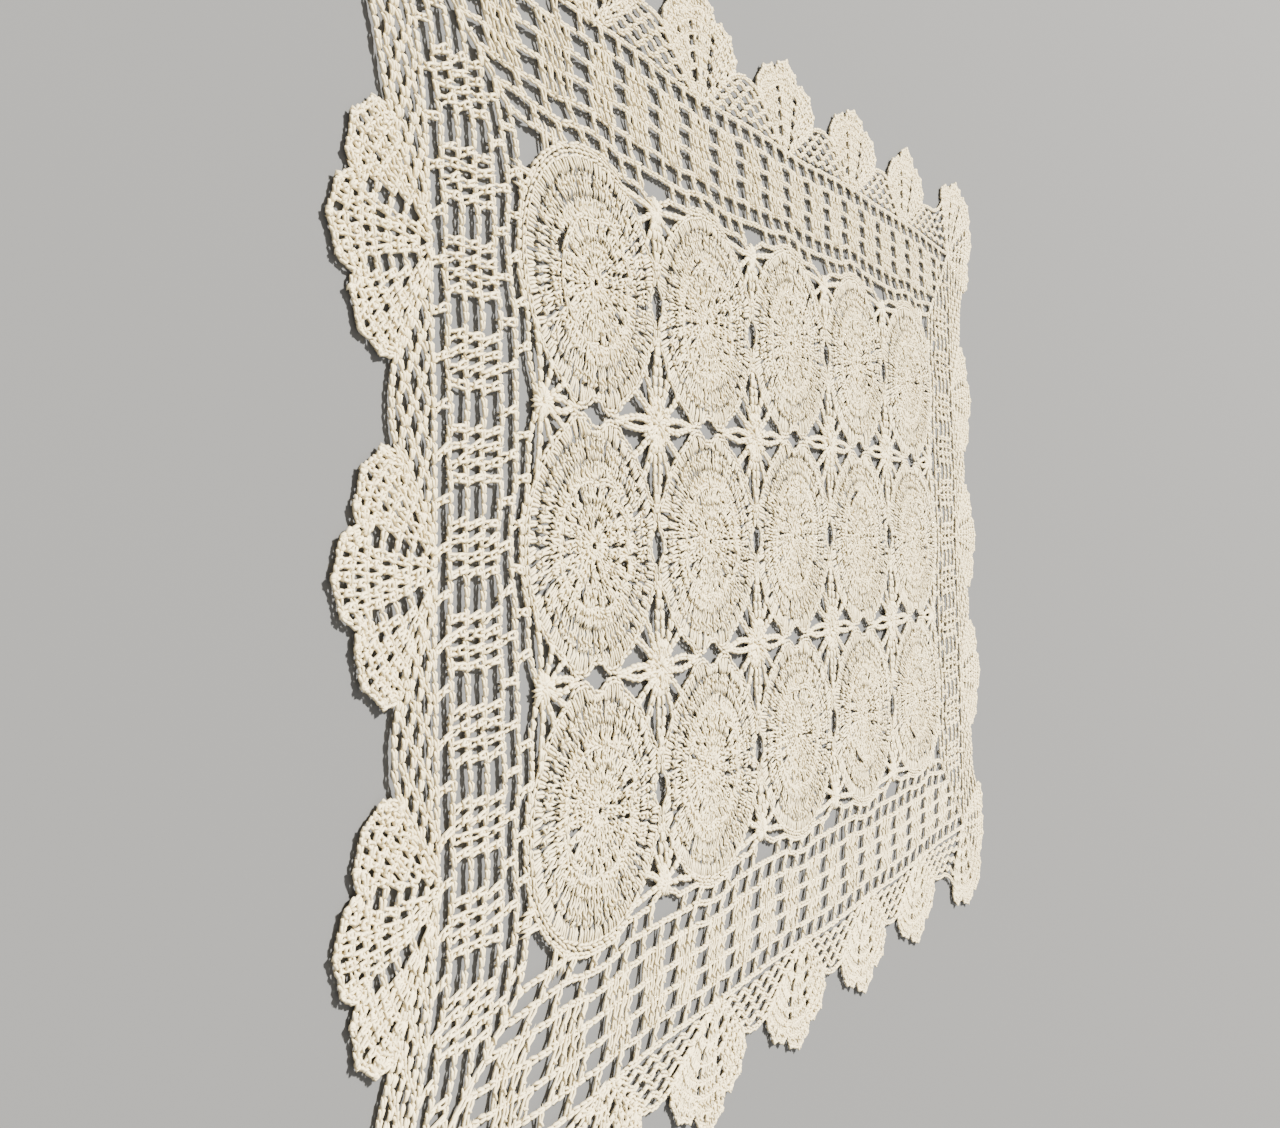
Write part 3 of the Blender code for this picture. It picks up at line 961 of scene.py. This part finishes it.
def fan_point(heart, radius, angle, height=MIDDLE):
    """Points at a radius from a fan's heart, in the direction of an angle."""
    angle = np.asarray(angle, dtype=float)
    x = heart[0] + radius * np.cos(angle)
    y = heart[1] + radius * np.sin(angle)
    return np.stack([x, y, np.full_like(angle, height)], -1)


def make_fan(heart, reach, steps, rays, drift, ends, lobes):
    """A fan about its heart. reach gives its radius by the angle, and steps the share of it at
    which each row ends. Posts stand side by side, apart from a ray of small holes between two
    wedges of them: a ray's angle from the fan's middle is its own times 1 + drift / radius. The
    last row is split in two and swells into lobes, by |sin| to a power, with picots on each."""
    first, last = np.radians(ends)
    middle = (first + last) / 2.0
    picots = LOBE_PICOTS * len(lobes)
    swell = lobes * rng.uniform(*LOBES_VARY, len(lobes))
    rises = PICOT_RISE * rng.uniform(*PICOTS_VARY, picots)

    def bumps(angle, heights, power):
        turn = len(heights) * (np.asarray(angle) - first) / (last - first)
        height = heights[np.clip(turn.astype(int), 0, len(heights) - 1)]
        return height * np.abs(np.sin(math.pi * turn)) ** power

    def row_radius(share, angle):
        if share <= steps[-2]:
            return reach(angle) * share
        part = (share - steps[-2]) / (steps[-1] - steps[-2])
        edge = bumps(angle, swell, LOBE_POWER) + bumps(angle, rises, 1.0)
        return reach(angle) * share + part * edge

    def row_chain(share, count):
        def line(way):
            angle = last + (first - last) * np.asarray(way)
            return fan_point(heart, row_radius(share, angle), angle, RAIL_HEIGHT)

        return chain(line, count, RAIL_SPREAD)

    def row_posts(inner, outer, start, stop):
        row_middle = (start + stop) / 2.0
        radius = reach(row_middle) * (inner + outer) / 2.0
        count = max(1, round((stop - start) * radius / FAN_POST_PITCH) + 1)
        spots = np.linspace(start, stop, count) if count > 1 else np.array([row_middle])
        spots = spots + rng.normal(0.0, FAN_POST_VARIES / radius, count)
        feet = fan_point(heart, row_radius(inner, spots), spots)
        heads = fan_point(heart, row_radius(outer, spots), spots)
        return border_posts(feet, heads)

    half_way = (steps[-2] + steps[-1]) / 2.0
    strands = row_posts(steps[0], steps[1], first, last)
    for inner, outer in zip(steps[1:-2], steps[2:-1]):
        places = middle + rays * (1.0 + drift / (inner + outer) * 2.0)
        clear = RAY_GAP / (reach(places) * (inner + outer))
        starts = np.concatenate([[first], places + clear])
        stops = np.concatenate([places - clear, [last]])
        for start, stop in zip(starts, stops):
            strands += row_posts(inner, outer, start, stop)
    strands += row_posts(steps[-2], half_way, first, last)
    strands += row_posts(half_way, steps[-1], first, last)
    for share in (*steps[1:-1], half_way):
        strands += row_chain(share, round((last - first) * reach(middle) * share / STITCH))
    strands += row_chain(steps[-1], PICOT_STITCHES * picots)
    for i in range(picots):
        angle = first + (last - first) * (i + 0.5) / picots
        radius = row_radius(steps[-1], np.array(angle)) + PICOT_RING_OUT
        picot = chain(ring(PICOT_RING), PICOT_RING_STITCHES, PICOT_SPREAD)
        strands += moved(picot, fan_point(heart, radius, angle), angle)
    return strands


def side_fan_reach(angle):
    """A radius of 1 all round, so that a side fan's steps are its radii."""
    return np.ones_like(np.asarray(angle, dtype=float))


def corner_fan_reach(angle):
    """A radius that swells by sin(2 * angle) in the quarter between the two sides."""
    return CORNER_RADIUS + CORNER_SWELL * np.sin(2.0 * np.clip(angle, 0.0, math.pi / 2))


def net_row(start, end, level, wave, phase):
    """A row of the net between two points: its distance from the field is its level, plus a rise
    to its ends by the square of the distance from its middle, plus a wave along the side."""

    def line(share):
        share = np.asarray(share)
        x = start[0] + (end[0] - start[0]) * share
        rise = np.where(share < 0.5, start[1], end[1]) - level
        y = level + rise * (2.0 * share - 1.0) ** 2
        y = y + wave * np.cos(FULL_TURN * x / NET_PITCH + phase)
        return np.stack([x, y, np.full_like(x, MIDDLE)], -1)

    return chain(line, round(NET_SLACK * (end[0] - start[0]) / STITCH), RAIL_SPREAD)


def make_net(left, right):
    """The net between two fans, from the ends of each row. The wave of a row runs against that of
    the row before, so that two rows meet and part as diamonds, and the edge has none."""
    strands = []
    for number, (level, start, end) in enumerate(zip(NET_LEVELS, left, right)):
        strands += net_row(start, end, level, NET_WAVE, math.pi * number)
    strands += net_row(left[-1], right[-1], NET_EDGE, 0.0, 0.0)
    return strands


def fan_ends(heart, radii, angle):
    """Where the rows of a fan meet the net at one of its sides."""
    return [(heart[0] + r * math.cos(angle), heart[1] + r * math.sin(angle)) for r in radii]


def make_side(half, pitch, lean, fan_shift):
    """The strands of one side, along X, with the distance from the field along Y."""
    strands = make_rails(half, pitch) + make_rounds(half, pitch, lean) + make_corner_web(half)
    heart = (half + FAN_HEART, FAN_HEART)
    strands += make_fan(
        heart, corner_fan_reach, CORNER_STEPS, CORNER_RAYS, 0.0, CORNER_ENDS, CORNER_LOBES
    )
    met = slice(1, 2 + len(NET_LEVELS))
    corner_radii = corner_fan_reach(0.0) * CORNER_STEPS[met]
    corner = fan_ends(heart, corner_radii, math.radians(CORNER_ENDS[1]))
    first, last = np.radians(FAN_ENDS)
    left = [(-x, y) for x, y in corner]
    for i in range(round(2.0 * half)):
        heart = (i + 0.5 - half + fan_shift, FAN_HEART)
        strands += make_fan(
            heart, side_fan_reach, FAN_STEPS, FAN_RAYS, FAN_RAY_DRIFT, FAN_ENDS, FAN_LOBES
        )
        strands += make_net(left, fan_ends(heart, FAN_STEPS[met], last))
        left = fan_ends(heart, FAN_STEPS[met], first)
    strands += make_net(left, corner)
    return strands


# The flat size and area of a side, with its corner fan: its depth and how far it runs past the
# field, the depth of its straight band, and the area of a fan and of a corner fan.
SIDE_DEPTH = 1.08
SIDE_ENDS = 1.5
BAND_DEPTH = 0.565
FAN_AREA = 0.27
CORNER_FAN_AREA = 0.45

border_cotton = cotton(
    "border_cotton",
    light=(0.928, 0.802, 0.498, 1.0),
    deep=(0.818, 0.683, 0.388, 1.0),
    # Painted shade, laid on the flanks of each strand.
    painted_shade=(0.340, 0.280, 0.180, 1.0),
)
for number, side in enumerate(("far_side", "left_end", "near_side", "right_end")):
    fans, across = (COLUMNS, ROWS) if number % 2 == 0 else (ROWS, COLUMNS)
    pitch = fans / SQUARES[number]
    side_strands = make_side(fans / 2, pitch, POST_LEANS[number], FAN_SHIFTS[number])
    strands = moved(side_strands, (0.0, across / 2))
    strands = moved(strands, (0.0, 0.0), number * math.pi / 2)
    size = (SIDE_DEPTH * PITCH, (fans + SIDE_ENDS) * PITCH)
    band = (fans + BAND_DEPTH) * BAND_DEPTH
    area = (band + FAN_AREA * fans + CORNER_FAN_AREA) * PITCH**2
    name = f"border_{side}_worked"
    add_piece(name, strands, BORDER_YARN, border_cotton, ["border"])


# Floor, soft light and the camera, which looks along the runner from over its left end. The
# camera is turned on its side: the far side of the runner is at the top of the picture.
FLOOR_SIZE = 30.0
FLOOR_COLOUR = (0.102, 0.104, 0.107, 1.0)
FLOOR_ROUGHNESS = 0.9
ROOM_COLOUR = (1.0, 0.975, 0.93, 1.0)
ROOM_STRENGTH = 0.65
SUN_COLOUR = (1.0, 0.96, 0.88)
CAMERA_PLACE = Vector((-0.46824, 0.00202, 0.19091))
CAMERA_AHEAD = Vector((0.87782, 0.05732, -0.47555))
CAMERA_UP = Vector((-0.04293, 0.99823, 0.04107))
CAMERA_LENS = 38.278
CAMERA_SENSOR = 36.0
CAMERA_SHIFT = -0.0828


def make_floor():
    """A level square under the runner, in a plain matt finish."""
    mesh = bpy.data.meshes.new("floor")
    half = FLOOR_SIZE / 2
    corners = [(-half, -half, 0.0), (half, -half, 0.0), (half, half, 0.0), (-half, half, 0.0)]
    mesh.from_pydata(corners, [], [(0, 1, 2, 3)])
    floor = bpy.data.objects.new("floor", mesh)
    bpy.context.collection.objects.link(floor)
    material = bpy.data.materials.new("floor")
    material.use_nodes = True
    shader = material.node_tree.nodes["Principled BSDF"]
    shader.inputs["Base Color"].default_value = FLOOR_COLOUR
    shader.inputs["Roughness"].default_value = FLOOR_ROUGHNESS
    mesh.materials.append(material)


def make_light():
    """An even room light, a key light from over the far side, and a weak, wide one from over the
    left end. Each lamp has its strength, the degrees its disc fills and where it shines to."""
    world = bpy.data.worlds.new("studio")
    world.use_nodes = True
    world.node_tree.nodes["Background"].inputs["Color"].default_value = ROOM_COLOUR
    world.node_tree.nodes["Background"].inputs["Strength"].default_value = ROOM_STRENGTH
    bpy.context.scene.world = world
    for name, strength, angle, towards in (
        ("key", 20.0, 6.0, (-0.30, -0.60, -0.75)),
        ("fill", 1.2, 60.0, (0.6, 0.5, -0.8)),
    ):
        light = bpy.data.lights.new(name, "SUN")
        light.color = SUN_COLOUR
        light.energy = strength
        light.angle = math.radians(angle)
        lamp = bpy.data.objects.new(name, light)
        lamp.rotation_mode = "QUATERNION"
        lamp.rotation_quaternion = Vector(towards).to_track_quat("-Z", "Y")
        bpy.context.collection.objects.link(lamp)


def make_camera():
    """The camera's axes are its right, its up and backwards, as columns of its matrix."""
    back = -CAMERA_AHEAD.normalized()
    right = CAMERA_UP.cross(back).normalized()
    up = back.cross(right)
    axes = Matrix((right, up, back)).transposed().to_4x4()
    lens = bpy.data.cameras.new("camera")
    lens.lens = CAMERA_LENS
    lens.sensor_width = CAMERA_SENSOR
    lens.sensor_fit = "HORIZONTAL"
    lens.shift_y = CAMERA_SHIFT
    lens.clip_start = 0.01
    lens.clip_end = 100.0
    camera = bpy.data.objects.new("camera", lens)
    bpy.context.collection.objects.link(camera)
    camera.matrix_world = Matrix.Translation(CAMERA_PLACE) @ axes
    bpy.context.scene.camera = camera


make_floor()
make_light()
make_camera()
